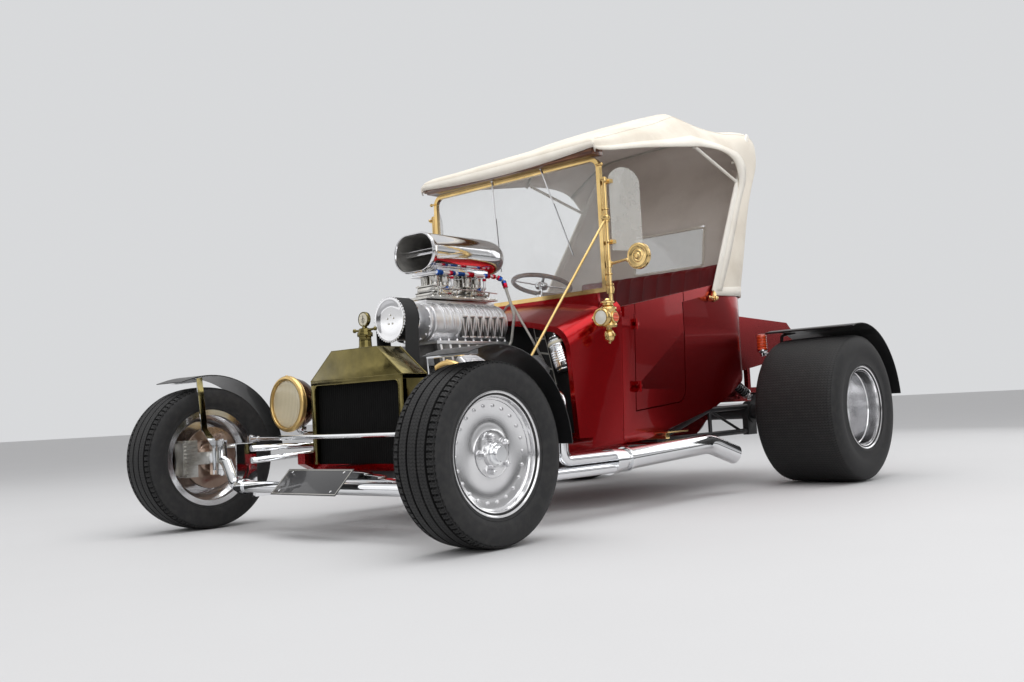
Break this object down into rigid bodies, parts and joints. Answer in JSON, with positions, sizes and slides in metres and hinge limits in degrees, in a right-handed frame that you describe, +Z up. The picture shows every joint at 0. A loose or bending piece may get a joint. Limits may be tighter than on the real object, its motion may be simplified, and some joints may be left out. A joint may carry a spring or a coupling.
{
  "type": "street rod roadster",
  "caption": "Open wheel street rod roadster with a short tub body, canvas hood, brass radiator and a blown engine; wheels roll, and the front wheels, door and trunk lid move.",
  "frame": {"origin": "on the ground under the middle of the overall length and width", "axes": "+Z up, -Y towards the nose, +X towards the car's left side"},
  "size_m": [2.168, 3.3974, 1.9259],
  "materials": {
    "tyre": "satin black rubber",
    "wheel_alloy": "polished alloy",
    "disc_steel": "turned steel",
    "chrome": "bright chrome plate",
    "polished_aluminium": "polished cast aluminium",
    "gloss_black": "gloss black paint",
    "frame_black": "satin black paint",
    "plate_blank": "blank painted plate",
    "candy_red": "candy dark red lacquer",
    "dash_black": "satin black",
    "brass": "polished brass",
    "lamp_brass": "brass rim on a dark red shell",
    "clear_glass": "clear",
    "clear_vinyl": "clear flexible pane",
    "canvas": "cream canvas",
    "bow_canvas": "bows sleeved in pale canvas",
    "upholstery": "dark red leather",
    "wood_rim": "varnished wood rim",
    "core_black": "black cooling fins",
    "lens_glass": "fluted warm lens",
    "engine_paint": "dark painted castings",
    "belt_rubber": "black toothed belt",
    "carb_metal": "cast metal",
    "scoop_aluminium": "brushed and polished sheet",
    "tail_lens": "orange red lens"
  },
  "bodies": {
    "chassis": {"front_axle": "chrome", "radius_rods": "chrome", "front_spring": "chrome", "front_brackets": "frame_black", "number_plate": "plate_blank", "frame_rails": "candy_red", "rear_axle": "frame_black", "ladder_bars": "frame_black", "coilovers": "chrome", "body_tub": "candy_red", "firewall": "gloss_black", "dash": "dash_black", "windscreen_frame": "brass", "windscreen_glass": "clear_glass", "wind_wings": "clear_glass", "cowl_lamps": "brass", "soft_top": "canvas", "rear_window": "clear_vinyl", "top_bows": "bow_canvas", "seat_cushion": "upholstery", "seat_back": "upholstery", "steering_column": "chrome", "radiator_shell": "brass", "radiator_core": "core_black", "headlamps": "lamp_brass", "headlamp_lenses": "lens_glass", "engine_and_gearbox": "engine_paint", "valve_covers": "polished_aluminium", "blower": "polished_aluminium", "blower_pulleys": "polished_aluminium", "blower_belt": "belt_rubber", "carburettors": "carb_metal", "fuel_lines": "polished_aluminium", "air_scoop": "scoop_aluminium", "exhaust_headers": "chrome", "side_pipes": "chrome", "step_plates": "brass", "rear_fenders": "gloss_black", "tail_lamps": "tail_lens", "trunk": "candy_red"},
    "knuckle_left": {"knuckle_left": "chrome", "caliper_left": "polished_aluminium", "front_fender_left": "gloss_black"},
    "knuckle_right": {"knuckle_right": "chrome", "caliper_right": "polished_aluminium", "front_fender_right": "gloss_black"},
    "front_wheel_left": {"front_tyre_left": "tyre", "front_wheel_left": "wheel_alloy", "brake_disc_left": "disc_steel"},
    "front_wheel_right": {"front_tyre_right": "tyre", "front_wheel_right": "wheel_alloy", "brake_disc_right": "disc_steel"},
    "rear_wheel_left": {"rear_tyre_left": "tyre", "rear_wheel_left": "wheel_alloy"},
    "rear_wheel_right": {"rear_tyre_right": "tyre", "rear_wheel_right": "wheel_alloy"},
    "tie_rod": {"tie_rod": "chrome"},
    "steering_wheel": {"steering_wheel": "wood_rim"},
    "passenger_door": {"passenger_door": "candy_red"},
    "trunk_lid": {"trunk_lid": "candy_red"}
  },
  "joints": [
    {"name": "steer_left", "type": "hinge", "parent": "chassis", "child": "knuckle_left", "pos_m": [0.69, -1.39125, 0.3075], "axis": [0, 0, 1], "range_deg": [-25, 25]},
    {"name": "steer_right", "type": "hinge", "parent": "chassis", "child": "knuckle_right", "pos_m": [-0.69, -1.39125, 0.3075], "axis": [0, 0, 1], "range_deg": [-25, 25]},
    {"name": "tie_rod_pivot", "type": "hinge", "parent": "knuckle_left", "child": "tie_rod", "pos_m": [0.69, -1.24125, 0.377], "axis": [0, 0, 1], "range_deg": [-25, 25]},
    {"name": "steering_wheel_turn", "type": "hinge", "parent": "chassis", "child": "steering_wheel", "pos_m": [-0.275, 0.29875, 1.092], "axis": [0, 0.2756, 0.9613], "range_deg": [-200, 200]},
    {"name": "front_left_spin", "type": "hinge", "parent": "knuckle_left", "child": "front_wheel_left", "pos_m": [0.8535, -1.39125, 0.3075], "axis": [1, 0, 0], "continuous": true},
    {"name": "front_right_spin", "type": "hinge", "parent": "knuckle_right", "child": "front_wheel_right", "pos_m": [-0.8535, -1.39125, 0.3075], "axis": [1, 0, 0], "continuous": true},
    {"name": "rear_left_spin", "type": "hinge", "parent": "chassis", "child": "rear_wheel_left", "pos_m": [0.857, 1.14875, 0.368], "axis": [1, 0, 0], "continuous": true},
    {"name": "rear_right_spin", "type": "hinge", "parent": "chassis", "child": "rear_wheel_right", "pos_m": [-0.857, 1.14875, 0.368], "axis": [1, 0, 0], "continuous": true},
    {"name": "door_hinge", "type": "hinge", "parent": "chassis", "child": "passenger_door", "pos_m": [0.562, -0.04625, 0.7], "axis": [0, 0, -1], "range_deg": [0, 70]},
    {"name": "trunk_lid_hinge", "type": "hinge", "parent": "chassis", "child": "trunk_lid", "pos_m": [0, 1.14175, 0.89], "axis": [1, 0, 0], "range_deg": [0, 60]}
  ],
  "couplings": [
    {"joint": "steer_right", "follows": "steer_left", "ratio": 1},
    {"joint": "tie_rod_pivot", "follows": "steer_left", "ratio": -1},
    {"joint": "steering_wheel_turn", "follows": "steer_left", "ratio": 8}
  ]
}
